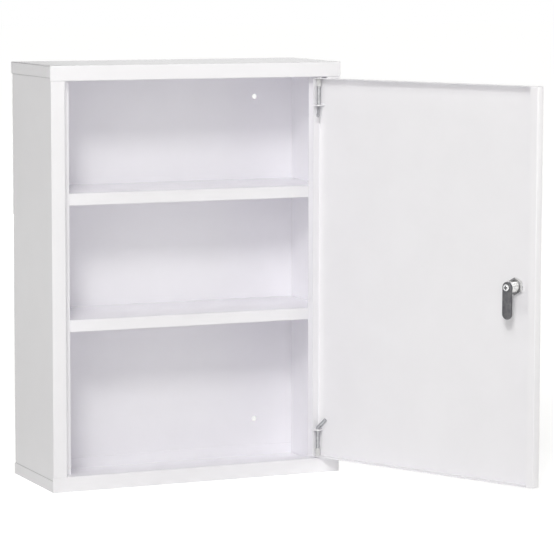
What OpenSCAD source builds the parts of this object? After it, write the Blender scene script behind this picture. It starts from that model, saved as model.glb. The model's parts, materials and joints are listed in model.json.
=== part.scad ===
// Wall-hung lockable medicine cabinet in folded sheet steel, millimetres.
// Origin: centre of the wall bolt pattern, on the back plane. +X right, +Y into the wall, +Z up.
// The door and all that it carries are drawn closed, then swung open about the hinge axis.

/* [Cabinet] */
// Overall width across the cap skirts
cab_w = 370; // [300:1:500]
// Overall depth from the frame face to the wall
cab_d = 140; // [100:1:220]
// Overall height
cab_h = 500; // [450:1:700]
// Thickness of the cabinet and door sheet
sheet_t = 0.8; // [0.6:0.1:1.2]
// Inside radius of every fold
fold_ri = 0.5; // [0.3:0.1:1.0]

/* [Frame] */
// Face width of the stiles and rails round the door
frame_w = 18; // [14:0.5:26]
// Depth from the frame face to the stop lips
stile_depth = 16; // [13:0.5:22]
// Width of the stop lip on the lock side
lock_lip_w = 10; // [6:0.5:14]
// Width of the stop lip on the hinge side
hinge_lip_w = 17; // [12:0.5:18]
// Depth of the rail plates that hold the hinge pins
rail_depth = 20; // [14:0.5:30]
// Height of the stiffening turn behind each rail
rail_turn_h = 8; // [4:0.5:12]
// Height of the cap skirts that lap over the sides
skirt_h = 14; // [8:0.5:18]

/* [Shelves] */
// Height of the upper shelf's top face above the base
upper_shelf_h = 350; // [310:1:400]
// Height of the lower shelf's top face above the base
lower_shelf_h = 201; // [120:1:260]
// Depth of the flanges turned down round each shelf
shelf_flange_h = 14; // [8:0.5:20]
// Gap between the stop lips and the shelf's front flange
shelf_gap = 0.2; // [0.1:0.1:1]

/* [Wall fixing] */
// Diameter of the wall screw holes
wall_hole_d = 6; // [4:0.5:9]
// Distance between the wall holes across the cabinet
wall_hole_dx = 264; // [150:1:280]
// Distance between the wall holes up the cabinet
wall_hole_dz = 405; // [300:1:420]

/* [Door] */
// Gap round the door at the top, bottom and lock edge
door_gap = 1.5; // [1:0.1:3]
// Clearance between the wide-open door and the hinge stile
open_clear = 0.05; // [0.05:0.05:1]
// Depth of the door's flanges
door_t = 12; // [10:0.5:12.5]
// Width of the return lip on the door's lock edge
door_lip_w = 10.5; // [6:0.5:14]
// Angle that the door opens through; it is drawn wide open
door_open = 116; // [90:1:120]

/* [Hinges] */
// Distance from the door's outer face to the hinge axis
axis_back = 5.5; // [4.5:0.1:7]
// Diameter of the hinge pin wire
pin_d = 4; // [3:0.1:5]
// Radial running clearance round each pin
pin_clear = 0.05; // [0.02:0.01:0.1]
// Length that each pin reaches past the door edge
pin_reach = 7.5; // [6:0.1:12]
// Length of the straight tail that is pulled to free the door
tail_len = 13; // [8:0.5:16]
// Bend between the pin and its tail
tail_bend = 45; // [30:1:60]
// Radius of the wire's bend, at its centre line
tail_r = 4; // [3:0.1:6]
// Turn of the upper tail away from the door skin
upper_tail_turn = 57; // [0:1:60]
// Turn of the lower tail towards the door skin
lower_tail_turn = -12; // [-14:1:60]
// Distance from the door edge to the far face of each hinge tab
tab_in = 33.5; // [25:0.5:50]
// Thickness of the hinge tabs
tab_t = 1.5; // [1:0.1:2.5]
// Length of the hinge tabs along the door
tab_w = 8.5; // [8:0.5:20]
// Wall of the nylon bushes
bush_wall = 0.95; // [0.7:0.05:1.2]
// Gap between each bush and the inside of the door's hinge flange
bush_gap = 0.1; // [0.05:0.05:1]
// Radial clearance between each bush and the door edge
bush_clear = 0.03; // [0.02:0.01:0.1]
// Length of the bush sleeve inside the door edge
bush_len = 9; // [5:0.5:14]
// Width of the bush collar past its sleeve
collar_w = 0.8; // [0.4:0.1:1.5]
// Gap left between each bush collar and its rail
collar_gap = 0.3; // [0.1:0.1:0.6]

/* [Lock] */
// Distance from the door's lock edge to the lock axis
lock_in = 34.5; // [28:0.5:40]
// Height of the lock axis above the base
lock_h = 250; // [210:1:300]
// Diameter of the plug that the key turns
plug_d = 10; // [8.3:0.1:12]
// Radial running clearance round the plug
plug_clear = 0.05; // [0.02:0.01:0.1]
// Wall of the lock body round the plug
lock_wall = 2; // [1.6:0.1:3]
// Depth of the two flats on the lock body
flat_cut = 0.7; // [0.5:0.1:0.9]
// Width of the front bezel past the lock body
bezel_w = 3; // [2:0.5:6]
// Height of the bezel
bezel_t = 2.2; // [1.6:0.1:3]
// Wall of the fixing nut at its flats
nut_w = 2; // [1.5:0.1:4]
// Thickness of the fixing nut
nut_t = 4; // [3:0.5:6]
// Thickness of the tooth washer under the nut
washer_t = 0.8; // [0.5:0.1:1.2]
// Clearance between the square tail and what it drives
square_clear = 0.05; // [0.02:0.01:0.1]
// Thickness of the stop washer
stop_t = 1; // [0.8:0.1:1.5]
// Angle that the plug turns through
lock_turn = 90; // [75:5:90]

/* [Cam] */
// Distance from the lock axis to the far end of the cam
cam_reach = 37; // [30:0.5:45]
// Width of the cam
cam_w = 13; // [12:0.5:16]
// Thickness of the cam
cam_t = 2; // [1.5:0.1:2.5]
// Gap between the locked cam and the back of the stop lip
cam_gap = 0.7; // [0.3:0.1:1.5]
// Height of the cam screw's head
screw_head_t = 2.6; // [2:0.1:3.5]
// Thread diameter of the cam screw
screw_d = 4; // [3:0.5:4]

/* [Key] */
// Thickness of the key blade
key_t = 2; // [1.6:0.1:2.4]
// Height of the key blade
key_w = 5.2; // [4.3:0.1:5.6]
// Diameter of the key's bow
bow_d = 21; // [17:0.5:26]

/* [Hidden] */
$fn = 64;
cut = 1;                 // overrun of a cutting shape past the face that it cuts
bond = 0.01;             // overlap of two shapes that are one piece
fold_steps = 6;          // facets across a 90 degree fold
fold_ro = fold_ri + sheet_t;

// Cabinet planes
right = cab_w / 2;
front = -cab_d;
top = cab_h / 2;
body_x = right - sheet_t;            // outer face of the side panels, under the cap skirts
inner_x = body_x - sheet_t;          // inner face of the side panels
open_x = right - frame_w;            // edge of the door opening
open_z = top - frame_w;              // edge of the door opening
lip_y = front + stile_depth;         // face of the stop lips
shelf_y = lip_y + sheet_t + shelf_gap;

// Hinge: the axis clears the door's flange, and the gap lets the door swing past the stile
pin_r = pin_d / 2;
pin_hole_r = pin_r + pin_clear;
bush_r = pin_hole_r + bush_wall;
axis_in = sheet_t + bush_r + bush_gap;   // from the door's hinge edge
fold_in = axis_back - fold_ro;
swing_gap = (axis_back + open_clear + fold_ro - fold_in * cos(door_open)) / sin(door_open) - fold_ro;
corner_gap = norm([axis_in - fold_ro, fold_in]) + fold_ro + open_clear;
hinge_gap = ceil(10 * (max(swing_gap, corner_gap) - axis_in)) / 10;
collar_r = bush_r + collar_w;
collar_t = door_gap - collar_gap;
tab_corner_r = 3;
elbow_gap = 0.3;                     // straight wire between each tab and its pin's elbow
tail_step = 0.02;                    // the tail is this much thinner, to start inside the bend
tail_root = 0.2;

// Closed door
door_x0 = -open_x + door_gap;
door_x1 = open_x - hinge_gap;
door_z = open_z - door_gap;
door_y1 = front + door_t;
axis_x = door_x1 - axis_in;
axis_y = front + axis_back;
tab_z = door_z - tab_in;             // far face of the upper tab

// Lock, along its own axis: 0 on the door's outer face, positive towards the inside
lock_x = door_x0 + lock_in;
lock_z = lock_h - top;
plug_r = plug_d / 2;
bore_r = plug_r + plug_clear;
lock_d = plug_d + 2 * lock_wall;
lock_flat_w = lock_d - 2 * flat_cut;
bezel_r = lock_d / 2 + bezel_w;
bezel_round = 1;
nut_af = lock_d + 2 * nut_w;
nut_z = sheet_t + washer_t;
nut_chamfer = 0.6;
cam_z = stile_depth + sheet_t + cam_gap;
lock_len = cam_z - stop_t;
screw_z = cam_z + cam_t;
head_r = plug_r + 0.9;               // shoulder on the plug's front
head_t = 1;
head_inset = 0.2;
shoulder_z = head_inset + head_t - bezel_t;
plug_end_z = lock_len - 1.5;         // where the round plug becomes the square tail
tail_sq = 0.64 * plug_d;
tail_end_z = screw_z - 0.2;
slot_r = tail_sq / 2 + square_clear;
screw_head_d = 1.25 * tail_sq;
tap_len = 6;                         // tapped hole in the square tail
tap_web = 0.8;                       // metal between the tapped hole and the keyway
lug_w = 2.4;                         // lug that stops the turn
lug_h = 1.6;
lug_gap = 0.1;
lug_play = 1.5;                      // degrees past each end of the turn

// Key and wafers
key_end_gap = 0.3;
keyway_end = tail_end_z - tap_len - tap_web;
key_len = keyway_end - key_end_gap;
keyway_w = key_t + 0.2;
keyway_h = key_w + 0.4;
wafer_t = 0.9;
wafer_pitch = 2.1;
wafer_z0 = 1.2;
wafer_n = 1 + floor((key_len - wafer_z0 - 2 * wafer_t) / wafer_pitch);
wafer_gap = 0.1;
wafer_w = 0.44 * plug_d;
wafer_h = 2 * sqrt(pow(plug_r - wafer_gap, 2) - pow(wafer_w / 2, 2));
groove_gap = 0.6;                    // free height past each end of a wafer
foot_x = wafer_w / 2 + 0.11 * plug_d;    // foot that stands on the wafer's spring
foot_h = 1;
foot_play = [0.6, 0.4];              // below and above the foot
foot_gap = 0.3;
spring_x = wafer_w / 2 + 0.07 * plug_d;
spring_r = 0.045 * plug_d;
spring_wire_r = 0.12;
spring_len = 0.24 * plug_d;
spring_gap = 0.05;
spring_coils = 8;

// ---------- outlines ----------

// Points of an arc round c
function arc(c, r, a0, a1, n) = [for (i = [0:n]) let (a = a0 + (a1 - a0) * i / n) c + r * [cos(a), sin(a)]];

// Rectangle whose corners carry the radii r, given from the low-low corner anticlockwise
function rounded(lo, hi, r) =
    let (c = [lo, [hi.x, lo.y], hi, [lo.x, hi.y]], inward = [[1, 1], [-1, 1], [-1, -1], [1, -1]])
    [for (i = [0:3])
        each r[i] == 0 ? [c[i]]
            : arc(c[i] + r[i] * inward[i], r[i], 180 + 90 * i, 270 + 90 * i, fold_steps)];

function toward(a, b) = (b - a) / norm(b - a);
function turned(a) = [a.y, -a.x];

// One skin of a folded sheet: the path itself at off = 0, or the skin at its right-hand side
function skin(path, off) =
    let (last = len(path) - 1)
    [for (i = [0:last])
        let (a = toward(path[max(i - 1, 0)], path[max(i, 1)]))
        let (b = toward(path[min(i, last - 1)], path[min(i + 1, last)]))
        each i == 0 ? [path[0] + off * turned(b)]
            : i == last ? [path[last] + off * turned(a)]
            : fold(path[i], a, b, off, b == turned(a))];

function fold(v, a, b, off, right_hand) =
    let (start = atan2(-b.y, -b.x))
    right_hand ? arc(v + fold_ro * (b - a), fold_ro - off, start, start - 90, fold_steps)
        : arc(v + fold_ri * (b - a), fold_ri + off, start, start + 90, fold_steps);

// Section of a folded sheet whose visible skin follows the path
module folded(path) {
    inside = skin(path, sheet_t);
    polygon(concat(skin(path, 0), [for (i = [len(inside) - 1:-1:0]) inside[i]]));
}

// Section drawn in Y and Z, run along X
module along_x(x0, x1) {
    translate([x0, 0, 0]) rotate([90, 0, 90]) linear_extrude(x1 - x0) children();
}

// Section drawn in X and Z, run along Y
module along_y(y0, y1) {
    translate([0, y1, 0]) rotate([90, 0, 0]) linear_extrude(y1 - y0) children();
}

// Section drawn in X and Y, run along Z
module along_z(z0, z1) {
    translate([0, 0, z0]) linear_extrude(z1 - z0) children();
}

module box(lo, hi) {
    translate(lo) cube(hi - lo);
}

// ---------- placing ----------

// Swings what is drawn on the closed door about the hinge axis
module on_door() {
    translate([axis_x, axis_y, 0]) rotate([0, 0, door_open]) translate([-axis_x, -axis_y, 0]) children();
}

// Local Z runs inwards along the lock axis; local Y points down
module on_lock() {
    on_door() translate([lock_x, front, lock_z]) rotate([-90, 0, 0]) children();
}

// ---------- cabinet ----------

// Sides, back, stiles and stop lips, folded from one sheet
module body_wrap() {
    end_y = front + sheet_t + fold_ri;
    end_z = top - sheet_t - fold_ri;
    ends = [[-body_x, end_y], [-body_x, 0], [body_x, 0], [body_x, end_y]];
    wrap = [
        [-open_x + lock_lip_w, lip_y], [-open_x, lip_y], [-open_x, front], [-body_x, front],
        [-body_x, 0], [body_x, 0],
        [body_x, front], [open_x, front], [open_x, lip_y], [open_x - hinge_lip_w, lip_y]
    ];
    color("white") difference() {
        union() {
            along_z(-open_z, open_z) folded(wrap);
            along_z(-end_z, end_z) folded(ends);
        }
        wall_holes();
    }
}

module wall_holes() {
    for (x = [-1, 1], z = [-1, 1])
        translate([x * wall_hole_dx / 2, cut, z * wall_hole_dz / 2])
            rotate([90, 0, 0]) cylinder(d = wall_hole_d, h = sheet_t + 2 * cut);
}

// Block with the folds' outer or inner radius r round its top, front and front corners
module cap_block(x, y0, y1, z0, z1, r) {
    intersection() {
        along_x(-x, x) polygon(rounded([y0, z0], [y1, z1], [r, 0, 0, r]));
        along_y(y0, y1) polygon(rounded([-x, z0], [x, z1], [0, 0, r, r]));
        along_z(z0, z1) polygon(rounded([-x, y0], [x, y1], [r, r, 0, 0]));
    }
}

// Top plate, front rail, its pin plate and the skirts; the bottom cap is its mirror image
module cap() {
    color("white") difference() {
        union() {
            difference() {
                cap_block(right, front, 0, open_z, top, fold_ro);
                cap_block(body_x, front + sheet_t, cut, open_z + sheet_t, top - sheet_t, fold_ri);
                box([-right - cut, front + rail_depth, open_z - cut], [right + cut, cut, top - skirt_h]);
                for (side = [0, 1]) mirror([side, 0, 0])
                    box([inner_x, front + sheet_t, open_z - cut], [right + cut, cut, top - skirt_h]);
            }
            box([-inner_x, front + rail_depth - sheet_t, open_z],
                [inner_x, front + rail_depth, open_z + rail_turn_h]);
            box([fold_ri - inner_x, -2 * sheet_t, top - skirt_h],
                [inner_x - fold_ri, -sheet_t, top - sheet_t]);
        }
        pin_bore(pin_hole_r);
    }
}

module top_cap() {
    cap();
}

module bottom_cap() {
    mirror([0, 0, 1]) cap();
}

// Plate with its flanges turned down against the sides, the back and behind the stop lips
module shelf(height) {
    z1 = height - top;
    z0 = z1 - shelf_flange_h;
    color("white") difference() {
        shelf_block(inner_x, shelf_y, -sheet_t, z0, z1, fold_ro);
        shelf_block(inner_x - sheet_t, shelf_y + sheet_t, -2 * sheet_t, z0 - cut, z1 - sheet_t, fold_ri);
    }
}

module shelf_block(x, y0, y1, z0, z1, r) {
    intersection() {
        along_x(-x, x) polygon(rounded([y0, z0], [y1, z1], [0, 0, r, r]));
        along_y(y0, y1) polygon(rounded([-x, z0], [x, z1], [0, 0, r, r]));
        along_z(z0, z1) polygon(rounded([-x, y0], [x, y1], [r, r, r, r]));
    }
}

module upper_shelf() {
    shelf(upper_shelf_h);
}

module lower_shelf() {
    shelf(lower_shelf_h);
}

// ---------- door ----------

// Skin, four flanges and the return lip on the lock edge, drawn closed
module door_panel() {
    color("whitesmoke") on_door() difference() {
        door_block(0, fold_ro, door_y1);
        difference() {
            door_block(sheet_t, fold_ri, door_y1 + cut);
            box([door_x0 - cut, door_y1 - sheet_t, -door_z - cut],
                [door_x0 + door_lip_w, door_y1 + 2 * cut, door_z + cut]);
        }
        pin_bore(bush_r + bush_clear);
        translate([lock_x, front - cut, lock_z]) rotate([-90, 0, 0])
            lock_section(sheet_t + 2 * cut, plug_clear);
    }
}

// The door's envelope, shrunk by a wall
module door_block(wall, r, y1) {
    x0 = door_x0 + wall;
    x1 = door_x1 - wall;
    y0 = front + wall;
    z = door_z - wall;
    lip_r = wall == 0 ? r : 0;
    intersection() {
        along_z(-z, z) polygon(rounded([x0, y0], [x1, y1], [r, r, 0, lip_r]));
        along_x(x0, x1) polygon(rounded([y0, -z], [y1, z], [r, 0, 0, r]));
        along_y(y0, y1) polygon(rounded([x0, -z], [x1, z], [r, r, r, r]));
    }
}

// Round hole on the hinge axis, through both ends of the door or the caps
module pin_bore(r) {
    translate([axis_x, axis_y, -cab_h]) cylinder(r = r, h = 2 * cab_h);
}

// ---------- hinges, drawn at the top of the door ----------

module hinge_tab() {
    x1 = door_x1 - sheet_t;
    color("white") difference() {
        along_z(tab_z, tab_z + tab_t)
            polygon(rounded([x1 - tab_w, front + sheet_t], [x1, door_y1], [0, fold_ro, 0, tab_corner_r]));
        pin_bore(pin_hole_r);
    }
}

// Bent wire: shank up through tab, bush and rail, tail turned off below the tab
module hinge_pin(turn) {
    elbow_z = tab_z - elbow_gap;
    color("silver") translate([axis_x, axis_y, elbow_z]) rotate([0, 0, 180 - turn]) {
        rotate([0, 0, 180]) cylinder(r = pin_r, h = door_z + pin_reach - elbow_z);
        translate([tail_r, 0, 0]) rotate([-90, 0, 180]) {
            rotate_extrude(angle = tail_bend) translate([tail_r, 0]) circle(r = pin_r);
            rotate([0, 0, tail_bend]) translate([tail_r, -tail_root, 0]) rotate([-90, 0, 0])
                cylinder(r = pin_r - tail_step, h = tail_root + tail_len);
        }
    }
}

// Nylon sleeve through the door's edge, with a collar that keeps the door off the rail
module hinge_bush() {
    sleeve_z = -sheet_t - bush_len;
    color("white") translate([axis_x, axis_y, door_z]) difference() {
        union() {
            translate([0, 0, sleeve_z]) cylinder(r = bush_r, h = -sleeve_z);
            cylinder(r = collar_r, h = collar_t);
        }
        translate([0, 0, sleeve_z - cut]) cylinder(r = pin_hole_r, h = collar_t - sleeve_z + 2 * cut);
    }
}

module upper_hinge_tab() {
    on_door() hinge_tab();
}

module lower_hinge_tab() {
    on_door() mirror([0, 0, 1]) hinge_tab();
}

module upper_hinge_pin() {
    on_door() hinge_pin(upper_tail_turn);
}

module lower_hinge_pin() {
    on_door() mirror([0, 0, 1]) hinge_pin(lower_tail_turn);
}

module upper_hinge_bush() {
    on_door() hinge_bush();
}

module lower_hinge_bush() {
    on_door() mirror([0, 0, 1]) hinge_bush();
}

// ---------- lock ----------

// Thread with two flats, grown by a clearance, from z = 0
module lock_section(h, clear) {
    intersection() {
        cylinder(d = lock_d + 2 * clear, h = h);
        translate([-lock_d, -lock_flat_w / 2 - clear, 0]) cube([2 * lock_d, lock_flat_w + 2 * clear, h]);
    }
}

// Bezel and threaded body, bored for the plug, with two grooves that catch the wafers
module lock_housing() {
    head_seat = head_inset + head_t;
    groove_h = bore_r + groove_gap;
    color("silver") on_lock() difference() {
        union() {
            lock_section(lock_len, 0);
            translate([0, 0, -bezel_t]) rotate_extrude() polygon(concat(
                [[0, 0]],
                arc([bezel_r - bezel_round, bezel_round], bezel_round, -90, 0, fold_steps),
                [[bezel_r, bezel_t], [0, bezel_t]]
            ));
        }
        translate([0, 0, -bezel_t - cut]) cylinder(r = bore_r, h = bezel_t + lock_len + 2 * cut);
        translate([0, 0, -bezel_t - cut]) cylinder(r = head_r + plug_clear, h = cut + head_seat);
        box([-foot_x - foot_gap, -groove_h, wafer_z(0) - groove_gap],
            [foot_x + foot_gap, groove_h, wafer_z(wafer_n - 1) + wafer_t + groove_gap]);
        stop_recess();
    }
}

// Open sector at the rear of the housing, in which the stop lug swings
module stop_recess() {
    half = asin(lug_w / 2 / bore_r) + lug_play;
    deep = lug_h + lug_gap;
    translate([0, 0, lock_len - deep]) intersection() {
        cylinder(d = lock_d + cut, h = deep + cut);
        linear_extrude(deep + cut)
            polygon(concat([[0, 0]], arc([0, 0], lock_d, -90 - half, -90 + half + lock_turn, fold_steps)));
    }
}

module lock_washer() {
    teeth = 16;
    tooth = 1.6;
    tip_r = nut_af / 2 + 0.6;
    color("gainsboro") on_lock() translate([0, 0, sheet_t]) difference() {
        union() {
            cylinder(r = tip_r - tooth / 2, h = washer_t);
            for (i = [0:teeth - 1]) rotate([0, 0, i * 360 / teeth])
                translate([tip_r - tooth, -tooth / 2, 0]) cube([tooth, tooth, washer_t]);
        }
        translate([0, 0, -cut]) cylinder(d = lock_d + 2 * plug_clear, h = washer_t + 2 * cut);
    }
}

// Hexagon nut, a corner uppermost, its rim chamfered at both faces
module lock_nut() {
    across = nut_af / cos(30);
    face_r = nut_af / 2 + 0.2;
    rim_r = across / 2 + 0.1;
    color("silver") on_lock() translate([0, 0, nut_z]) difference() {
        intersection() {
            rotate([0, 0, 90]) cylinder(d = across, h = nut_t, $fn = 6);
            rotate_extrude() polygon([
                [0, 0], [face_r, 0], [rim_r, nut_chamfer],
                [rim_r, nut_t - nut_chamfer], [face_r, nut_t], [0, nut_t]
            ]);
        }
        translate([0, 0, -cut]) cylinder(d = lock_d + 2 * plug_clear, h = nut_t + 2 * cut);
    }
}

function wafer_z(i) = wafer_z0 + i * wafer_pitch;

// Hole for the key, from the bezel's face to z1
module keyway(z0, z1) {
    box([-keyway_w / 2, -keyway_h / 2, z0], [keyway_w / 2, keyway_h / 2, z1]);
}

// Plug with its keyway, wafer slots, spring pockets, square tail and tapped end
module lock_plug() {
    slot_x = wafer_w / 2 + wafer_gap;
    slot_t = wafer_t + 2 * wafer_gap;
    pocket_r = spring_r + spring_wire_r + spring_gap;
    pocket_y = -spring_len - foot_play[0];
    color("silver") on_lock() difference() {
        union() {
            translate([0, 0, shoulder_z - head_t]) cylinder(r = head_r, h = head_t);
            translate([0, 0, shoulder_z - bond]) cylinder(r = plug_r, h = plug_end_z - shoulder_z + bond);
            box([-tail_sq / 2, -tail_sq / 2, plug_end_z - bond], [tail_sq / 2, tail_sq / 2, tail_end_z]);
        }
        keyway(-bezel_t - cut, keyway_end);
        for (i = [0:wafer_n - 1]) translate([0, 0, wafer_z(i) - wafer_gap]) {
            box([-slot_x, -plug_d, 0], [slot_x, plug_d, slot_t]);
            box([0, -foot_play[0], 0], [foot_x + foot_gap, foot_h + foot_play[1], slot_t]);
            translate([spring_x, pocket_y, slot_t / 2]) rotate([-90, 0, 0])
                cylinder(r = pocket_r, h = -pocket_y);
        }
        translate([0, 0, tail_end_z - tap_len]) cylinder(d = screw_d, h = tap_len + cut);
    }
}

// Flat brass wafers, each with a window for the key and a foot for its spring
module lock_wafers() {
    color("goldenrod") on_lock() for (i = [0:wafer_n - 1]) translate([0, 0, wafer_z(i)]) difference() {
        union() {
            box([-wafer_w / 2, -wafer_h / 2, 0], [wafer_w / 2, wafer_h / 2, wafer_t]);
            box([0, 0, 0], [foot_x, foot_h, wafer_t]);
        }
        keyway(-cut, wafer_t + cut);
    }
}

// One short coil under the foot of each wafer, drawn as stacked rings of wire
module wafer_springs() {
    pitch = spring_len / spring_coils;
    color("silver") on_lock() for (i = [0:wafer_n - 1])
        translate([spring_x, -spring_len - spring_gap, wafer_z(i) + wafer_t / 2]) rotate([-90, 0, 0])
            for (c = [0:spring_coils - 1]) translate([0, 0, (c + 0.5) * pitch])
                rotate_extrude() translate([spring_r, 0])
                    square([2 * spring_wire_r, pitch + bond], center = true);
}

// Square hole that fits the plug's tail, through the thickness t
module tail_hole(t) {
    box([-slot_r, -slot_r, -cut], [slot_r, slot_r, t + cut]);
}

// Washer on the square tail, whose lug swings in the housing's recess
module stop_washer() {
    color("silver") on_lock() translate([0, 0, lock_len]) difference() {
        union() {
            cylinder(d = lock_flat_w, h = stop_t);
            box([-lug_w / 2, lug_gap - lock_flat_w / 2, -lug_h], [lug_w / 2, -bore_r - lug_gap, stop_t]);
        }
        tail_hole(stop_t);
    }
}

// Flat cam with round ends, hanging down while unlocked
module cam() {
    end_y = cam_reach - cam_w / 2;
    color("dimgray") on_lock() translate([0, 0, cam_z]) difference() {
        union() {
            cylinder(d = cam_w, h = cam_t);
            box([-cam_w / 2, 0, 0], [cam_w / 2, end_y, cam_t]);
            translate([0, end_y, 0]) cylinder(d = cam_w, h = cam_t);
        }
        tail_hole(cam_t);
    }
}

// Pan head with a cross recess
module cam_screw() {
    crown = 0.9;
    crown_end = 70;
    cross = [4.4, 1.1, 1.5];
    cross_turn = 8;
    shank_len = 5.5;
    thread_gap = 0.02;
    head_r = screw_head_d / 2;
    color("silver") on_lock() translate([0, 0, screw_z]) difference() {
        union() {
            rotate_extrude() polygon(concat(
                [[0, 0], [head_r, 0]],
                arc([head_r - crown, screw_head_t - crown], crown, 0, crown_end, fold_steps),
                [[0, screw_head_t]]
            ));
            translate([0, 0, -shank_len]) cylinder(r = screw_d / 2 - thread_gap, h = shank_len + bond);
        }
        for (a = [0, 90]) rotate([0, 0, a + cross_turn])
            translate([-cross.x / 2, -cross.y / 2, screw_head_t - cross.z]) cube(cross + [0, 0, cut]);
    }
}

// Flat key pushed home in the plug
module key() {
    blade_out = 3;           // blade seen between the bezel and the bow
    bow_lap = 1.5;
    shoulder = 4;
    ring_d = 5;              // hole for a key ring
    ring_in = 3;
    out_z = -bezel_t - blade_out;
    color("silver") on_lock() {
        box([-key_t / 2, -key_w / 2, out_z - bow_lap], [key_t / 2, key_w / 2, key_len]);
        translate([-key_t / 2, 0, out_z + bow_lap - bow_d / 2]) rotate([0, 90, 0]) difference() {
            union() {
                cylinder(d = bow_d, h = key_t);
                translate([-bow_d / 2 + bow_lap / 3, -key_w, 0]) cube([shoulder, 2 * key_w, key_t]);
            }
            translate([bow_d / 2 - ring_in - ring_d / 2, 0, -cut])
                cylinder(d = ring_d, h = key_t + 2 * cut);
        }
    }
}

body_wrap();
top_cap();
bottom_cap();
upper_shelf();
lower_shelf();
door_panel();
upper_hinge_tab();
lower_hinge_tab();
upper_hinge_pin();
lower_hinge_pin();
upper_hinge_bush();
lower_hinge_bush();
lock_housing();
lock_washer();
lock_nut();
lock_plug();
lock_wafers();
wafer_springs();
stop_washer();
cam();
cam_screw();
key();
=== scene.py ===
import json
from math import asin, cos, hypot, pi, radians, sin, sqrt, tau

import bmesh
import bpy
import numpy as np
from mathutils import Matrix, Vector


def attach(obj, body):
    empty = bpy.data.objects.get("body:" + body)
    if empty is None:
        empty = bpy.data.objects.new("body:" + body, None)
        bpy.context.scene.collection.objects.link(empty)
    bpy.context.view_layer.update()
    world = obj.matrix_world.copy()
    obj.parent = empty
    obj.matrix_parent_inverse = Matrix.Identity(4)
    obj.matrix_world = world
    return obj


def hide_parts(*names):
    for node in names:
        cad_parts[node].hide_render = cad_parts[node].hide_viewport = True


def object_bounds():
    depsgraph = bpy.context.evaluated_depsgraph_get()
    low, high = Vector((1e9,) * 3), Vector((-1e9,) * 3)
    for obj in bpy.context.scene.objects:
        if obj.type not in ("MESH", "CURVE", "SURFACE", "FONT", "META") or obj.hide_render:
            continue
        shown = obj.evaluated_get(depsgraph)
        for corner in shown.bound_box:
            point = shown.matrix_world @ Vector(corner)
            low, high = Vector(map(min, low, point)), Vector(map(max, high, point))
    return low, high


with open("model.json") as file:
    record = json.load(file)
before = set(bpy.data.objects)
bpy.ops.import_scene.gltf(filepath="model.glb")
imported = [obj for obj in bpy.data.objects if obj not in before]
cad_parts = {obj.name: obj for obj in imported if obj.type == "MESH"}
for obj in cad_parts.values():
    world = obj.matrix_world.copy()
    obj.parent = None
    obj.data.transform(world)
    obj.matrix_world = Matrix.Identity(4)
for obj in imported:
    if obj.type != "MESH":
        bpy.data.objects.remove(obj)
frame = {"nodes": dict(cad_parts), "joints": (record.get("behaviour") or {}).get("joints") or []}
cad_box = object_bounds()
scene = bpy.context.scene
scene.view_settings.view_transform = "Standard"
scene.cycles.diffuse_bounces = 12       # a white box that is open on one side needs this many to be light inside

# ---------- sizes, in millimetres as on the sheet-metal drawing ----------

MM = 0.001

# Sheet metal: thickness, the rounding of its cut edges, the cabinet's height, the trays' skirts, and the width of the
# painted shade band where each skirt laps the wrap
SHEET, SHEET_EDGE, CAB_H, SKIRT, LAP = 0.8, 0.18, 500.0, 14.0, 0.5
DOOR_OPEN, DOOR_TOP = 116.0, 230.5

# Hinge pins: wire, its chamfered tip, the elbow and the bent tail, turned about the pin by so many degrees
PIN_R, PIN_TOP, PIN_TIP, ELBOW_Z = 2.0, 238.0, 0.5, 196.7
TAIL_R, TAIL_BEND, TAIL_LEN, TAIL_BURR = 4.0, 45.0, 13.0, 0.25
TAIL_TURN = {"upper": 57.0, "lower": -12.0}
BUSH_R, BUSH_BORE, BUSH_SLEEVE, COLLAR_R, COLLAR_T = 3.0, 2.05, 9.8, 3.8, 1.2

# Lock body: threaded barrel with two flats, the bezel, and the open sector for the stop lug (its play in degrees)
LOCK_R, LOCK_FLAT, LOCK_LEN, LOCK_BORE = 7.0, 6.3, 16.5, 5.05
THREAD_PITCH, THREAD_DEEP, THREAD_START = 1.0, 0.22, 0.6
BEZEL_R, BEZEL_T, BEZEL_ROUND, HEAD_R, HEAD_DEEP, GROOVE_DEEP = 10.0, 2.2, 1.0, 5.95, 1.2, 0.12
LUG_HALF, LUG_PLAY, SECTOR_DEEP = 1.2, 1.5, 1.7
NUT_AF, NUT_T, NUT_Z, NUT_CHAMFER, NUT_THREAD = 18.0, 4.0, 1.6, 0.7, 0.38
WASHER_T, WASHER_IN, WASHER_OUT, TEETH, TEETH_R, TOOTH_TWIST = 0.8, 7.1, 8.3, 16, 8.35, 16.0
TOOTH = (1.9, 1.7, 0.52)

# Plug, cam and screw
CAM_Z, CAM_T, CAM_HALF, CAM_REACH, CAM_SQUARE = 17.5, 2.0, 6.5, 30.5, 6.5
SCREW_Z, SCREW_HEAD_R, SCREW_HEAD_T, SCREW_ROUND = 19.5, 4.0, 2.6, 0.9
SHANK_R, SHANK_LEN, SHANK_PITCH, SHANK_THREAD = 1.97, 5.5, 0.7, 0.35
RECESS_HALF, RECESS_REACH, RECESS_DEEP, RECESS_TURN = 0.80, 2.6, 1.9, 8.0
WAFER_Z, WAFER_PITCH, WAFER_T, WAFERS, WAFER_W, WAFER_H = 1.2, 2.1, 0.9, 5, 4.4, 8.757
FOOT_REACH, FOOT_H, WINDOW_W, WINDOW_H = 3.3, 1.0, 2.2, 5.6
SPRING_X, SPRING_R, SPRING_WIRE, SPRING_LEN, SPRING_TURNS = 2.9, 0.45, 0.11, 2.4, 7

# Key: blade, the cuts along it, bow with its shoulders and ring hole
KEY_T, KEY_W, KEY_LEN, KEY_OUT, KEY_CUTS = 2.0, 5.2, 12.2, 3.0, (0.35, 0.75, 0.5, 0.9, 0.4)
BOW_R, BOW_LAP, SHOULDER, RING_R, RING_IN = 10.5, 1.5, 5.2, 2.5, 5.5

joints = {j["name"]: j for j in frame["joints"]}


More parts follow.
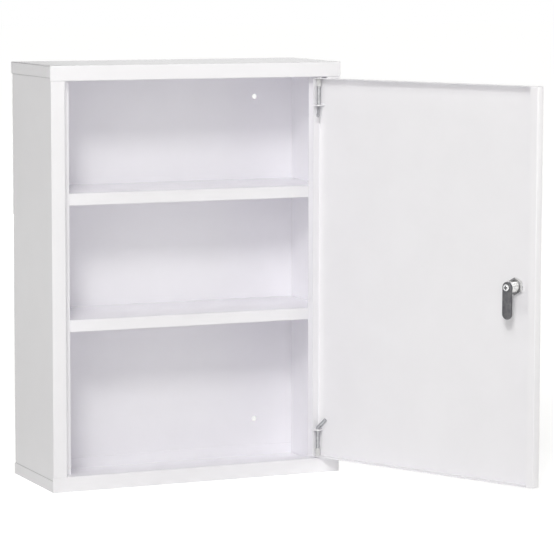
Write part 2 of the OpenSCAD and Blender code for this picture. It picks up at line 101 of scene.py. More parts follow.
def hinge_place(turn_degrees):
    """Hinge axis as local Z, in millimetres, turned about it."""
    turn = Matrix.Rotation(radians(turn_degrees), 4, "Z")
    return Matrix.Translation(joints["door_swing"]["pos_m"]) @ turn @ Matrix.Scale(MM, 4)


def lock_place():
    """Local Z runs inwards along the lock from the door's outer face, local Y points down, in millimetres."""
    inwards, down = Vector(joints["lock_turn"]["axis"]).normalized(), Vector((0, 0, -1))
    turn = Matrix((down.cross(inwards), down, inwards)).transposed().to_4x4()
    return Matrix.Translation(joints["lock_turn"]["pos_m"]) @ turn @ Matrix.Scale(MM, 4)


# ---------- shader expressions ----------

class Value:
    """A number or colour that varies over a surface; operators on a number add its Math nodes."""

    def __init__(self, nodes, socket):
        self.nodes, self.socket = nodes, socket

    def _math(self, operation, *terms):
        return self.nodes.node("ShaderNodeMath", {"operation": operation}, dict(enumerate(terms))).out()

    def __add__(self, other):
        return self._math("ADD", self, other)

    def __sub__(self, other):
        return self._math("SUBTRACT", self, other)

    def __rsub__(self, other):
        return self._math("SUBTRACT", other, self)

    def __mul__(self, other):
        return self._math("MULTIPLY", self, other)

    __radd__, __rmul__ = __add__, __mul__

    def most(self, other):
        return self._math("MAXIMUM", self, other)

    def rise(self, low, high, to_low=0.0, to_high=1.0):
        """Runs smoothly from to_low to to_high as the value goes from low to high."""
        return self.nodes.node("ShaderNodeMapRange", {"interpolation_type": "SMOOTHSTEP"},
                               {"Value": self, "From Min": low, "From Max": high,
                                "To Min": to_low, "To Max": to_high}).out()


class Step:
    """One node, asked for its outputs."""

    def __init__(self, nodes, node):
        self.nodes, self.node = nodes, node

    def out(self, name=0):
        return Value(self.nodes, self.node.outputs[name])


class Nodes:
    """The shader nodes of a material or of the world."""

    def __init__(self, owner):
        owner.use_nodes = True
        self.tree = owner.node_tree
        self.tree.nodes.clear()

    def node(self, kind, settings=None, inputs=None):
        """Adds a node: its settings first, then a value or a link for each socket."""
        node = self.tree.nodes.new(kind)
        for name, value in (settings or {}).items():
            setattr(node, name, value)
        for name, value in (inputs or {}).items():
            if isinstance(value, Value):
                self.tree.links.new(value.socket, node.inputs[name])
            else:
                node.inputs[name].default_value = value
        return Step(self, node)

    def seen(self):
        """1 for the eye and for what polished things show of a surface, 0 for the light that it gives."""
        ray = self.node("ShaderNodeLightPath")
        return ray.out("Is Camera Ray").most(ray.out("Is Glossy Ray")).most(ray.out("Is Transmission Ray"))


class Finish(Nodes):
    """A node material, built from expressions on Object coordinates."""

    def __init__(self, name):
        self.material = bpy.data.materials.new(name)
        super().__init__(self.material)
        self.place = self.node("ShaderNodeTexCoord").out("Object")

    def noise(self, size_mm, detail=2.0, stretch=(1, 1, 1)):
        """Cloudy value from 0 to 1 whose lumps are about size_mm across; stretch multiplies the lump along an axis."""
        place = self.node("ShaderNodeMapping", inputs={"Vector": self.place, "Scale": [1 / s for s in stretch]}).out()
        return self.node("ShaderNodeTexNoise", inputs={"Vector": place, "Scale": 1 / (size_mm * MM),
                                                       "Detail": detail}).out("Fac")

    def speckle(self, size_mm, seed):
        """Distance to the nearest of many scattered points, 0 at each of them."""
        place = self.node("ShaderNodeMapping", inputs={"Vector": self.place, "Location": (seed, seed, seed)}).out()
        return self.node("ShaderNodeTexVoronoi", inputs={"Vector": place, "Scale": 1 / (size_mm * MM)}).out("Distance")

    def blend(self, share, first, second):
        """Colour that goes from first to second with share."""
        first, second = (c if isinstance(c, Value) else (*c, 1) for c in (first, second))
        return self.node("ShaderNodeMix", {"data_type": "RGBA"}, {0: share, 6: first, 7: second}).out(2)

    def bump(self, height, deep_mm, below=None):
        """Relief whose full height is deep_mm, laid over the relief below."""
        inputs = {"Height": height, "Strength": 1.0, "Distance": deep_mm * MM}
        if below:
            inputs["Normal"] = below
        return self.node("ShaderNodeBump", inputs=inputs).out()

    def surface(self, fixed, **varying):
        """Closes the finish with one Principled shader; its uniform values sit on the shader itself."""
        varying = {name.replace("_", " "): value for name, value in varying.items()}
        shader = self.node("ShaderNodeBsdfPrincipled", inputs={**fixed, **varying})
        self.node("ShaderNodeOutputMaterial", inputs={"Surface": shader.out()})
        return self.material


# ---------- finishes ----------

def powder_coat(name, high, low):
    """Satin polyester powder on sheet steel: orange peel, a finer grain and the sheet's own slight waviness."""
    f = Finish(name)
    peel = f.noise(2.6)
    grain = f.noise(0.35, 1.0)
    sheet = f.noise(130.0, 1.0)
    cloud = f.noise(45.0, 3.0)
    pinhole = f.speckle(7.0, 3.1).rise(0.02, 0.05, 1.0, 0.0)
    relief = f.bump(grain, 0.006, f.bump(peel, 0.045, f.bump(sheet, 0.7)))
    colour = f.blend(pinhole * 0.10, f.blend(cloud.rise(0.3, 0.7), high, low), (0.55, 0.54, 0.53))
    return f.surface({"IOR": 1.52}, Base_Color=colour, Roughness=peel * 0.06 + cloud * 0.05 + 0.15, Normal=relief)


def thin_coat_and_lap_shade(name, high, low):
    """The same coat where it draws back thin from a sheet's cut edge; made darker, the same finish is also the painted
    shade in the crevice under each skirt.
    """
    f = Finish(name)
    thin = f.noise(1.4, 3.0).rise(0.42, 0.72)
    return f.surface({}, Base_Color=f.blend(thin * 0.6, high, low), Roughness=0.42 - thin * 0.08,
                     Normal=f.bump(f.noise(0.8), 0.03))


def plated_wire(name, high, low):
    """Bright zinc on drawn wire: lengthwise die lines, a bluish cast and dull patches."""
    f = Finish(name)
    lines = f.noise(0.28, stretch=(1, 1, 14))
    patch = f.noise(3.0, 3.0)
    return f.surface({"Metallic": 1.0}, Base_Color=f.blend(patch.rise(0.35, 0.7), high, low),
                     Roughness=patch * 0.16 + lines * 0.10 + 0.22, Normal=f.bump(lines, 0.02))


def moulded_nylon(name, high, low):
    """Natural nylon: waxy, slightly cloudy."""
    f = Finish(name)
    cloud = f.noise(2.0)
    waxy = {"Subsurface Weight": 0.25, "Subsurface Scale": 0.6 * MM, "Subsurface Radius": (1.0, 1.0, 1.0)}
    return f.surface(waxy, Base_Color=f.blend(cloud, high, low), Roughness=cloud * 0.15 + 0.38,
                     Normal=f.bump(f.noise(0.3), 0.012))


def plated_casting(name, high, low):
    """Nickel over a casting: smooth, with a faint cast skin and small rubs."""
    f = Finish(name)
    skin = f.noise(1.6)
    rub = f.noise(0.25, stretch=(9, 1, 1)).rise(0.55, 0.75)
    return f.surface({"Metallic": 1.0}, Base_Color=f.blend(skin.rise(0.3, 0.7), high, low),
                     Roughness=skin * 0.10 + rub * 0.12 + 0.10, Normal=f.bump(skin, 0.008))


def machined(name, high, low, rough=0.2):
    """Turned or milled metal with tool lines."""
    f = Finish(name)
    lines = f.noise(0.16, stretch=(1, 1, 8))
    stain = f.noise(2.4, 3.0)
    return f.surface({"Metallic": 1.0}, Base_Color=f.blend(stain.rise(0.3, 0.75), high, low),
                     Roughness=lines * 0.14 + stain * 0.12 + rough, Normal=f.bump(lines, 0.012))


def dark_passivate(name, dark, bloomed, rubbed):
    """Dark passivated zinc on a pressed steel cam: brushed lengthwise, with rubbed bright flecks and a dusty bloom."""
    f = Finish(name)
    brush = f.noise(0.22, 3.0, (1, 1, 22))
    bloom = f.noise(4.0, 3.0).rise(0.3, 0.75)
    fleck = f.speckle(1.3, 1.7).rise(0.05, 0.10, 1.0, 0.0)
    return f.surface({"Metallic": 0.85}, Base_Color=f.blend(fleck * 0.5, f.blend(bloom, dark, bloomed), rubbed),
                     Roughness=brush * 0.2 + bloom * 0.08 + 0.3, Normal=f.bump(brush, 0.03))


def studio_white(name, base, near_glow, far_glow):
    """Floor paper: pale to the light, brighter to the eye so that it reads as white, more so far from the cabinet."""
    f = Finish(name)
    away = f.node("ShaderNodeVectorMath", {"operation": "LENGTH"}, {0: f.place}).out("Value")
    paper = f.node("ShaderNodeBsdfDiffuse", inputs={"Color": (*base, 1)})
    shine = f.node("ShaderNodeEmission", inputs={"Color": (1, 1, 1, 1),
                                                 "Strength": f.seen() * away.rise(0.5, 2.2, near_glow, far_glow)})
    both = f.node("ShaderNodeAddShader", inputs={0: paper.out(), 1: shine.out()})
    f.node("ShaderNodeOutputMaterial", inputs={"Surface": both.out()})
    return f.material


coat = powder_coat("off_white_powder_coat", (0.925, 0.917, 0.950), (0.913, 0.905, 0.938))
coat_edge = thin_coat_and_lap_shade("thin_coat_at_edges", (0.80, 0.80, 0.81), (0.62, 0.62, 0.63))
# painted shade: dark colour for the shadowed crevice just under each skirt's edge on the wrap
lap_shade = thin_coat_and_lap_shade("painted_shade_in_laps", (0.42, 0.42, 0.43), (0.30, 0.30, 0.31))
wire_zinc = plated_wire("bright_zinc_wire", (0.47, 0.475, 0.49), (0.36, 0.365, 0.38))
nylon = moulded_nylon("natural_nylon", (0.70, 0.70, 0.70), (0.62, 0.62, 0.625))
nickel = plated_casting("nickel_plate", (0.80, 0.80, 0.79), (0.70, 0.70, 0.69))
bezel_nickel = plated_casting("satin_nickel_bezel", (0.50, 0.50, 0.495), (0.42, 0.42, 0.415))
plug_plate = plated_casting("plated_plug", (0.44, 0.44, 0.435), (0.36, 0.36, 0.355))
zinc_plate = machined("zinc_plate", (0.60, 0.61, 0.63), (0.47, 0.48, 0.50), 0.24)
# painted reflection: a dark tone for the nut's inner face, standing for the dark surroundings it would mirror
painted_dark_nut_face = machined("painted_dark_reflection_on_nut", (0.30, 0.30, 0.305), (0.21, 0.21, 0.215), 0.3)
screw_zinc = machined("bright_screw", (0.82, 0.82, 0.83), (0.68, 0.69, 0.70), 0.12)
# painted shade: a dark tone for the inside of the screw's cross recess
recess_shade = machined("painted_shade_in_recess", (0.32, 0.32, 0.33), (0.22, 0.22, 0.23), 0.45)
brass = machined("machined_brass", (0.80, 0.60, 0.28), (0.62, 0.44, 0.19))
spring_wire = machined("spring_wire", (0.52, 0.52, 0.52), (0.42, 0.42, 0.43), 0.22)
cam_dark = dark_passivate("dark_passivated_steel", (0.115, 0.115, 0.125), (0.175, 0.175, 0.18), (0.42, 0.42, 0.42))
key_nickel = machined("key_nickel", (0.46, 0.45, 0.43), (0.36, 0.35, 0.335), 0.22)

# ---------- making pieces ----------

def plain(mesh, name, *materials, sharp=35.0):
    """The finished object of a mesh: at the origin, smooth except where it turns by more than sharp degrees."""
    mesh.materials.clear()
    for material in materials:
        mesh.materials.append(material)
    mesh.shade_smooth()
    mesh.set_sharp_from_angle(angle=radians(sharp))
    obj = bpy.data.objects.new(name, mesh)
    scene.collection.objects.link(obj)
    return obj


def applied(obj):
    """The object with its modifiers turned into plain mesh."""
    graph = bpy.context.evaluated_depsgraph_get()
    mesh = bpy.data.meshes.new_from_object(obj.evaluated_get(graph), preserve_all_data_layers=True, depsgraph=graph)
    obj.modifiers.clear()
    obj.data = mesh
    mesh.name = obj.name
    return obj


def fitted(obj, body, node):
    """Mounts the piece on its body in place of the CAD node that it stands for."""
    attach(obj, body)
    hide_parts(node)


def joined_faces(node):
    """A CAD node's mesh as one closed skin without its drawing triangles."""
    bm = bmesh.new()
    bm.from_mesh(frame["nodes"][node].data)
    bmesh.ops.remove_doubles(bm, verts=bm.verts, dist=2e-6)
    bmesh.ops.dissolve_limit(bm, angle_limit=radians(0.3), verts=bm.verts, edges=bm.edges)
    return bm


def broken_edges(node, width, *materials, edge_slot=0):
    """A CAD node with its sharp edges rounded by width, the rounded strips in the given material slot."""
    bm = joined_faces(node)
    mesh = bpy.data.meshes.new(node + "_skin")
    bm.to_mesh(mesh)
    bm.free()
    obj = plain(mesh, node + "_skin", *materials, sharp=30)
    bevel = obj.modifiers.new("edges", "BEVEL")
    bevel.width, bevel.segments, bevel.limit_method = width * MM, 2, "ANGLE"
    bevel.angle_limit, bevel.material = radians(40), edge_slot
    bevel.use_clamp_overlap, bevel.harden_normals = True, True
    return applied(obj)


def skin(bm, name, *materials, at, sharp=35.0):
    """Closes a bmesh into a finished piece, moved to its place."""
    bm.transform(at)
    bmesh.ops.remove_doubles(bm, verts=bm.verts, dist=1e-7)
    bmesh.ops.dissolve_degenerate(bm, edges=bm.edges, dist=1e-7)
    bmesh.ops.recalc_face_normals(bm, faces=bm.faces)
    mesh = bpy.data.meshes.new(name)
    bm.to_mesh(mesh)
    bm.free()
    return plain(mesh, name, *materials, sharp=sharp)


def band(bm, low, high):
    """One ring of faces between two loops of as many points."""
    for side in range(len(low)):
        after = (side + 1) % len(low)
        bm.faces.new((low[side], low[after], high[after], high[side]))


def end_caps(bm, loops):
    """Closes both ends of a row of loops."""
    bm.faces.new(list(reversed(loops[0])))
    bm.faces.new(loops[-1])


def lathe(name, rings, sides, *materials, at, closed=True, radius=None, rise=None, sharp=35.0):
    """Closed skin of rings (r, z) about local Z; radius and rise may bend each ring by its angle."""
    bm = bmesh.new()
    loops = []
    for index, (r, z) in enumerate(rings):
        loop = []
        for side in range(sides):
            a = tau * side / sides
            rr = radius(index, r, z, a) if radius else r
            zz = rise(r, z, a) if rise else z
            loop.append(bm.verts.new((rr * cos(a), rr * sin(a), zz)))
        loops.append(loop)
    for low, high in zip(loops, loops[1:] + (loops[:1] if closed else [])):
        band(bm, low, high)
    if not closed:
        end_caps(bm, loops)
    return skin(bm, name, *materials, at=at, sharp=sharp)


def swept_wire(name, path, r, sides, material, at):
    """Round wire along a path of (point, radius share), closed by its end faces."""
    bm = bmesh.new()
    points = [Vector(p) for p, _ in path]
    loops = []
    across = None
    for i, (_, share) in enumerate(path):
        along = (points[min(i + 1, len(points) - 1)] - points[max(i - 1, 0)]).normalized()
        across = (across - along * across.dot(along)).normalized() if across else along.orthogonal().normalized()
        other = along.cross(across)
        angles = [tau * side / sides for side in range(sides)]
        loops.append([bm.verts.new(points[i] + r * share * (cos(a) * across + sin(a) * other)) for a in angles])
    for low, high in zip(loops, loops[1:]):
        band(bm, low, high)
    end_caps(bm, loops)
    return skin(bm, name, material, at=at)


def flat_plate(name, outline, windows, z0, z1, material, edge, at, sharp=35.0):
    """Blanked plate of an outline and its windows, its edges slightly rounded."""
    bm = bmesh.new()
    edges = []
    for loop in [outline, *windows]:
        verts = [bm.verts.new((x, y, z0)) for x, y in loop]
        edges += [bm.edges.new((verts[i], verts[(i + 1) % len(verts)])) for i in range(len(verts))]
    bmesh.ops.triangle_fill(bm, edges=edges, use_beauty=True, use_dissolve=False)
    bmesh.ops.dissolve_limit(bm, angle_limit=radians(0.3), verts=bm.verts, edges=bm.edges)
    lifted = bmesh.ops.extrude_face_region(bm, geom=list(bm.faces))
    top = [v for v in lifted["geom"] if isinstance(v, bmesh.types.BMVert)]
    bmesh.ops.translate(bm, vec=(0, 0, z1 - z0), verts=top)
    bmesh.ops.recalc_face_normals(bm, faces=bm.faces)
    rims = [e for e in bm.edges if len(e.link_faces) == 2 and e.calc_face_angle(0) > radians(40)
            and sum(abs(face.normal.z) for face in e.link_faces) > 0.5]
    bmesh.ops.bevel(bm, geom=rims, offset=edge, segments=2, profile=0.5, affect="EDGES", clamp_overlap=True)
    return skin(bm, name, material, at=at, sharp=sharp)


def second_finish(obj, at, chosen):
    """Gives the second material to each face whose middle and direction, in the piece's own millimetres, are chosen."""
    back = at.inverted()
    turned_back = back.to_3x3()
    for face in obj.data.polygons:
        face.material_index = int(chosen(back @ face.center, (turned_back @ face.normal).normalized()))


# ---------- pieces that repeat ----------

def tree_of(name, **inputs):
    """A node group for a mesh modifier with named number inputs: the tree, its inputs and its result."""
    tree = bpy.data.node_groups.new(name, "GeometryNodeTree")
    tree.interface.new_socket("Geometry", in_out="INPUT", socket_type="NodeSocketGeometry")
    for label, kind in inputs.items():
        tree.interface.new_socket(label, in_out="INPUT", socket_type=kind)
    tree.interface.new_socket("Geometry", in_out="OUTPUT", socket_type="NodeSocketGeometry")
    return tree, tree.nodes.new("NodeGroupInput"), tree.nodes.new("NodeGroupOutput")


def step(tree, kind, settings=None, **inputs):
    """Adds one geometry node; a value in inputs is a socket to link or a constant."""
    node = tree.nodes.new(kind)
    for name, value in (settings or {}).items():
        setattr(node, name, value)
    for name, value in inputs.items():
        socket = node.inputs[name.replace("_", " ")]
        if isinstance(value, bpy.types.NodeSocket):
            tree.links.new(value, socket)
        else:
            socket.default_value = value
    return node


def solid_copies(tree, points, piece, **turn):
    """The piece at each point, as solid mesh."""
    copies = step(tree, "GeometryNodeInstanceOnPoints", Points=points, Instance=piece, **turn)
    return step(tree, "GeometryNodeRealizeInstances", Geometry=copies.outputs[0]).outputs[0]


def ending(tree, result, shape, material):
    """Ends a tree in one material."""
    dressed = step(tree, "GeometryNodeSetMaterial", Geometry=shape, Material=material)
    tree.links.new(dressed.outputs[0], result.inputs[0])


def row_tree(material):
    """Repeats the piece that it is given along Z."""
    tree, given, result = tree_of("repeat_in_row", Count="NodeSocketInt", Pitch="NodeSocketFloat")
    offset = step(tree, "ShaderNodeCombineXYZ", Z=given.outputs["Pitch"])
    line = step(tree, "GeometryNodeMeshLine", Count=given.outputs["Count"], Offset=offset.outputs[0])
    ending(tree, result, solid_copies(tree, line.outputs[0], given.outputs["Geometry"]), material)
    return tree


def teeth_tree(material):
    """Adds twisted teeth round the ring that it is given."""
    tree, given, result = tree_of("teeth_round_ring", Count="NodeSocketInt", Radius="NodeSocketFloat")
    circle = step(tree, "GeometryNodeMeshCircle", Vertices=given.outputs["Count"], Radius=given.outputs["Radius"])
    spot = step(tree, "GeometryNodeInputPosition")
    aim = step(tree, "FunctionNodeAlignRotationToVector", {"axis": "X"}, Vector=spot.outputs[0])
    twist = step(tree, "FunctionNodeRotateRotation", {"rotation_space": "LOCAL"}, Rotation=aim.outputs[0],
                 Rotate_By=(radians(TOOTH_TWIST), 0, 0))
    tooth = step(tree, "GeometryNodeMeshCube", Size=TOOTH, Vertices_X=3, Vertices_Y=2, Vertices_Z=2)
    teeth = solid_copies(tree, circle.outputs[0], tooth.outputs[0], Rotation=twist.outputs[0])
    both = step(tree, "GeometryNodeJoinGeometry")
    tree.links.new(given.outputs["Geometry"], both.inputs[0])
    tree.links.new(teeth, both.inputs[0])
    ending(tree, result, both.outputs[0], material)
    return tree


def run_tree(obj, tree, **values):
    """Runs a node group on the object, its inputs set by their identifiers."""
    modifier = obj.modifiers.new(tree.name, "NODES")
    modifier.node_group = tree
    for item in tree.interface.items_tree:
        if item.item_type == "SOCKET" and item.in_out == "INPUT" and item.name in values:
            modifier[item.identifier] = values[item.name]
    applied(obj)


def moved_mesh(obj, at):
    """Moves the mesh itself, so that the object stays at the origin."""
    obj.data.transform(at)
    obj.data.update()
    return obj


# ---------- sheet-metal pieces ----------

def painted_lap_shade_band(sheet, height, wide):
    """Gives the third material, a painted shade band standing for the crevice's shadow, to the wrap's outside, for wide
    inside the edges of the trays' skirts.
    """
    mesh = sheet.data
    bm = bmesh.new()
    bm.from_mesh(mesh)
    for z in (height, height - wide, -height, wide - height):
        geom = list(bm.verts) + list(bm.edges) + list(bm.faces)
        bmesh.ops.bisect_plane(bm, geom=geom, dist=1e-7, plane_co=(0, 0, z), plane_no=(0, 0, 1))
    half = max(v.co.x for v in bm.verts)
    for face in bm.faces:
        middle = face.calc_center_median()
        if height - wide < abs(middle.z) < height and (abs(middle.x) > half - 1e-4 or middle.y > -1e-4):
            face.material_index = 2
    bm.to_mesh(mesh)
    bm.free()


SHEETS = {"cabinet": ("body_wrap", "top_cap", "bottom_cap", "upper_shelf", "lower_shelf"),
          "door": ("door_panel", "upper_hinge_tab", "lower_hinge_tab")}
for body, nodes in SHEETS.items():
    for node in nodes:
        sheet = broken_edges(node, SHEET_EDGE, coat, coat_edge, lap_shade, edge_slot=1)
        if node == "body_wrap":
            painted_lap_shade_band(sheet, (CAB_H / 2 - SKIRT) * MM, LAP * MM)
        fitted(sheet, body, node)

# ---------- hinges ----------

def mirrored(which):
    """Leaves the upper hinge as it is and mirrors the lower one to the foot of the door."""
    return Matrix.Scale(1 if which == "upper" else -1, 4, (0, 0, 1))


def hinge_pin(which):
    """Bent wire pin: a chamfered tip, the shank, the elbow and a sheared tail."""
    shank = PIN_TOP - ELBOW_Z
    path = [((0, 0, PIN_TOP), 0.80), ((0, 0, PIN_TOP - PIN_TIP), 1.0)]
    path += [((0, 0, PIN_TOP - shank * k / 12), 1.0) for k in range(1, 12)]
    bend = [radians(a) for a in np.linspace(0, TAIL_BEND, 15)]
    path += [((TAIL_R - TAIL_R * cos(a), 0, ELBOW_Z - TAIL_R * sin(a)), 1.0) for a in bend]
    end, way = Vector(path[-1][0]), Vector((sin(bend[-1]), 0, -cos(bend[-1])))
    path += [(end + way * TAIL_LEN * k / 8, 0.99) for k in range(1, 8)]
    path += [(end + way * (TAIL_LEN - TAIL_BURR), 0.99), (end + way * TAIL_LEN, 0.88)]
    at = mirrored(which) @ hinge_place(DOOR_OPEN + 180 - TAIL_TURN[which])
    fitted(swept_wire(which + "_pin_wire", path, PIN_R, 40, wire_zinc, at), which + "_pin",
           which + "_hinge_pin")


def hinge_bush(which):
    """Nylon sleeve with a collar, its edges moulded round."""
    low, high = DOOR_TOP - BUSH_SLEEVE, DOOR_TOP + COLLAR_T
    rings = [(BUSH_BORE, high - 0.15), (BUSH_BORE + 0.2, high), (COLLAR_R - 0.35, high), (COLLAR_R - 0.1, high - 0.1),
             (COLLAR_R, high - 0.35), (COLLAR_R, DOOR_TOP + 0.1), (COLLAR_R - 0.1, DOOR_TOP), (BUSH_R, DOOR_TOP),
             (BUSH_R, low + 0.4), (BUSH_R - 0.3, low), (BUSH_BORE + 0.1, low), (BUSH_BORE, low + 0.15)]
    bush = lathe(which + "_bush_nylon", rings, 64, nylon, at=mirrored(which) @ hinge_place(0))
    fitted(bush, "door", which + "_hinge_bush")


for which in ("upper", "lower"):
    hinge_pin(which)
    hinge_bush(which)

# ---------- lock ----------

LOCK = lock_place()


def along_lock(z):
    """The lock's place, moved inwards by z."""
    return LOCK @ Matrix.Translation((0, 0, z))


def share(x):
    """x held between 0 and 1."""
    return min(1.0, max(0.0, x))


def thread(z, a, r):
    """Radius on a single-start thread with flat crests."""
    phase = (z / THREAD_PITCH - a / tau) % 1.0
    return r - THREAD_DEEP * share(abs(2 * phase - 1) * 2.6 - 1.3)


def lock_body():
    """Bezel and threaded barrel with two flats, bored for the plug, with the open sector for the stop lug."""
    half = asin(LUG_HALF / LOCK_BORE) + radians(LUG_PLAY)
    face, groove, floor_z = -BEZEL_T, GROOVE_DEEP - BEZEL_T, LOCK_LEN - SECTOR_DEEP
    front = [(LOCK_BORE, HEAD_DEEP + face), (HEAD_R + 0.05, HEAD_DEEP + face), (HEAD_R + 0.05, face + 0.1),
             (HEAD_R + 0.15, face)]
    front += [(HEAD_R + 1.2, face), (HEAD_R + 1.35, groove), (HEAD_R + 1.75, groove), (HEAD_R + 1.9, face)]
    front += [(BEZEL_R + BEZEL_ROUND * (sin(a) - 1), face + BEZEL_ROUND * (1 - cos(a)))
              for a in np.linspace(0, pi / 2, 9)]
    front += [(BEZEL_R, 0)]
    barrel = [(LOCK_R, z) for z in np.linspace(0, LOCK_LEN - 0.5, 193)] + [(LOCK_R - 0.45, LOCK_LEN)]

    def radius(index, r, z, a):
        if not 0 <= index - len(front) < len(barrel):
            return r
        r = min(r, thread(z, a, LOCK_R)) if z > THREAD_START else r
        return max(min(r, LOCK_FLAT / max(abs(sin(a)), 1e-6)), LOCK_BORE + 0.2)

    def rise(r, z, a):
        in_sector = -half <= (a + pi / 2 + pi) % tau - pi <= half + pi / 2
        return min(z, floor_z) if in_sector else z

    rings = front + barrel + [(LOCK_BORE, LOCK_LEN), (LOCK_BORE, LOCK_LEN / 2)]
    body = lathe("lock_barrel", rings, 120, nickel, bezel_nickel, at=LOCK, radius=radius, rise=rise, sharp=32)
    second_finish(body, LOCK, lambda spot, facing: spot.z < 0)
    fitted(body, "door", "lock_housing")


def fixing_nut():
    """Hexagon nut, a corner uppermost, chamfered at both faces, threaded inside, its inner face coloured dark as a
    painted reflection of dark surroundings.
    """
    flat, corner = NUT_AF / 2, NUT_AF / 2 / cos(pi / 6)
    heights = (0, NUT_CHAMFER / 2, NUT_CHAMFER, NUT_T / 2, NUT_T - NUT_CHAMFER, NUT_T - NUT_CHAMFER / 2, NUT_T)
    outer = [(corner, z) for z in heights]
    bore = [(LOCK_R, z) for z in np.linspace(NUT_T, 0, 33)]
    bore[0], bore[-1] = (LOCK_R + 0.3, NUT_T), (LOCK_R + 0.3, 0)

    def radius(index, r, z, a):
        if index < len(outer):
            rim = flat - 0.15
            cone = rim + (corner - rim) * share(min(z, NUT_T - z) / NUT_CHAMFER)
            return min(flat / cos((a + pi / 6) % (pi / 3) - pi / 6), cone)
        return max(thread(z, a, LOCK_R + NUT_THREAD), LOCK_R + 0.02) if 0.2 < z < NUT_T - 0.2 else r

    at = along_lock(NUT_Z)
    nut = lathe("hexagon_nut", outer + bore, 120, nickel, painted_dark_nut_face, at=at, radius=radius, sharp=25)
    # painted reflection: faces turned along the lock towards the viewer take the dark tone
    second_finish(nut, at, lambda spot, facing: facing.z > 0.4)
    fitted(nut, "door", "lock_nut")


def tooth_washer():
    """Shakeproof washer: a flat ring with twisted outer teeth, pressed in between its two faces."""
    section = [(WASHER_IN, 0.1), (WASHER_IN + 0.1, 0), (WASHER_OUT - 0.1, 0), (WASHER_OUT, 0.1)]
    section += [(r, WASHER_T - z) for r, z in reversed(section)]
    ring = lathe("tooth_washer", section, 96, zinc_plate, at=Matrix.Identity(4))
    run_tree(ring, teeth_tree(zinc_plate), Count=TEETH, Radius=TEETH_R)
    lowest, highest = WASHER_T * 0.02, WASHER_T * 0.98
    for v in ring.data.vertices:
        if v.co.z < 0 or hypot(v.co.x, v.co.y) > TEETH_R:       # only teeth reach so low or so far out
            v.co.z = min(max(v.co.z + WASHER_T / 2, lowest), highest)
    fitted(moved_mesh(ring, along_lock(SHEET)), "door", "lock_washer")


def wafer_stack():
    """Flat wafers, each with a window for the key and a foot for its spring."""
    x, y, u, v = WAFER_W / 2, WAFER_H / 2, WINDOW_W / 2, WINDOW_H / 2
    outline = [(-x, -y), (x, -y), (x, 0), (FOOT_REACH, 0), (FOOT_REACH, FOOT_H), (x, FOOT_H), (x, y), (-x, y)]
    window = [(-u, -v), (u, -v), (u, v), (-u, v)]
    wafer = flat_plate("wafer_stack", outline, [window], 0, WAFER_T, brass, 0.08, Matrix.Identity(4))
    run_tree(wafer, row_tree(brass), Count=WAFERS, Pitch=WAFER_PITCH)
    fitted(moved_mesh(wafer, along_lock(WAFER_Z)), "plug", "lock_wafers")


def wafer_coils():
    """One small coil spring under the foot of each wafer."""
    steps = 16
    last = SPRING_TURNS * steps
    low, rise = -SPRING_LEN + 1.2 * SPRING_WIRE, (SPRING_LEN - 2.4 * SPRING_WIRE) / last
    path = [((SPRING_R * cos(tau * k / steps), low + rise * k, SPRING_R * sin(tau * k / steps)), 1.0)
            for k in range(last + 1)]
    coil = swept_wire("wafer_coils", path, SPRING_WIRE, 8, spring_wire,
                      Matrix.Translation((SPRING_X, -0.05, WAFER_T / 2)))
    run_tree(coil, row_tree(spring_wire), Count=WAFERS, Pitch=WAFER_PITCH)
    fitted(moved_mesh(coil, along_lock(WAFER_Z)), "plug", "wafer_springs")


def cam_plate():
    """Pressed cam with round ends and its square hole, burred edges rounded."""
    outline = [(CAM_HALF * cos(a), CAM_HALF * sin(a)) for a in np.linspace(pi, tau, 33)]
    outline += [(CAM_HALF * cos(a), CAM_REACH + CAM_HALF * sin(a)) for a in np.linspace(0, pi, 33)]
    s = CAM_SQUARE / 2
    square = [(-s, -s), (s, -s), (s, s), (-s, s)]
    cam = flat_plate("cam_plate", outline, [square], CAM_Z, CAM_Z + CAM_T, cam_dark, 0.3, LOCK, sharp=50)
    fitted(cam, "plug", "cam")


def cross_recess(x, y):
    """Depth of a tapered cross recess at a point of the head."""
    turn = radians(RECESS_TURN)
    u, v = abs(x * cos(turn) + y * sin(turn)), abs(y * cos(turn) - x * sin(turn))
    return RECESS_DEEP * share((RECESS_HALF - min(u, v)) / 0.20) * share((RECESS_REACH - max(u, v)) / 0.7)


def cam_screw_head():
    """Pan head with a cross recess, and its threaded shank in the plug."""
    crown = [(SCREW_HEAD_R + SCREW_ROUND * (cos(a) - 1), SCREW_HEAD_T + SCREW_ROUND * (sin(a) - 1))
             for a in np.linspace(0, radians(70), 9)]
    edge_r, edge_z = crown[-1]

    def dome(r):
        return edge_z + (SCREW_HEAD_T - edge_z) * (1 - (r / edge_r) ** 2)

    shank = [(1.5, -SHANK_LEN)] + [(2.0, z) for z in np.linspace(0.3 - SHANK_LEN, -0.05, 60)]
    head = [(SCREW_HEAD_R - 0.1, 0.0), (SCREW_HEAD_R, 0.12)] + crown
    head += [(edge_r * k / 36, dome(edge_r * k / 36)) for k in range(35, 0, -1)] + [(0.02, SCREW_HEAD_T)]
    reach = RECESS_REACH + 0.2

    def radius(index, r, z, a):
        phase = (z / SHANK_PITCH - a / tau) % 1.0
        return SHANK_R - SHANK_THREAD * abs(2 * phase - 1) if 1 <= index < len(shank) else r

    def rise(r, z, a):
        return z - cross_recess(r * cos(a), r * sin(a)) if z > SCREW_HEAD_T - 1.0 and r < reach else z

    def in_recess(spot, facing):
        off = hypot(spot.x, spot.y)
        return dome(off) - spot.z > 0.35 and off < reach and spot.z > 0.3

    at = along_lock(SCREW_Z)
    screw = lathe("pan_head_screw", shank + head, 96, screw_zinc, recess_shade, at=at, closed=False, radius=radius,
                  rise=rise, sharp=30)
    # painted shade: faces sunk in the cross recess take the dark tone in place of the recess's own shadow
    second_finish(screw, at, in_recess)
    fitted(screw, "plug", "cam_screw")


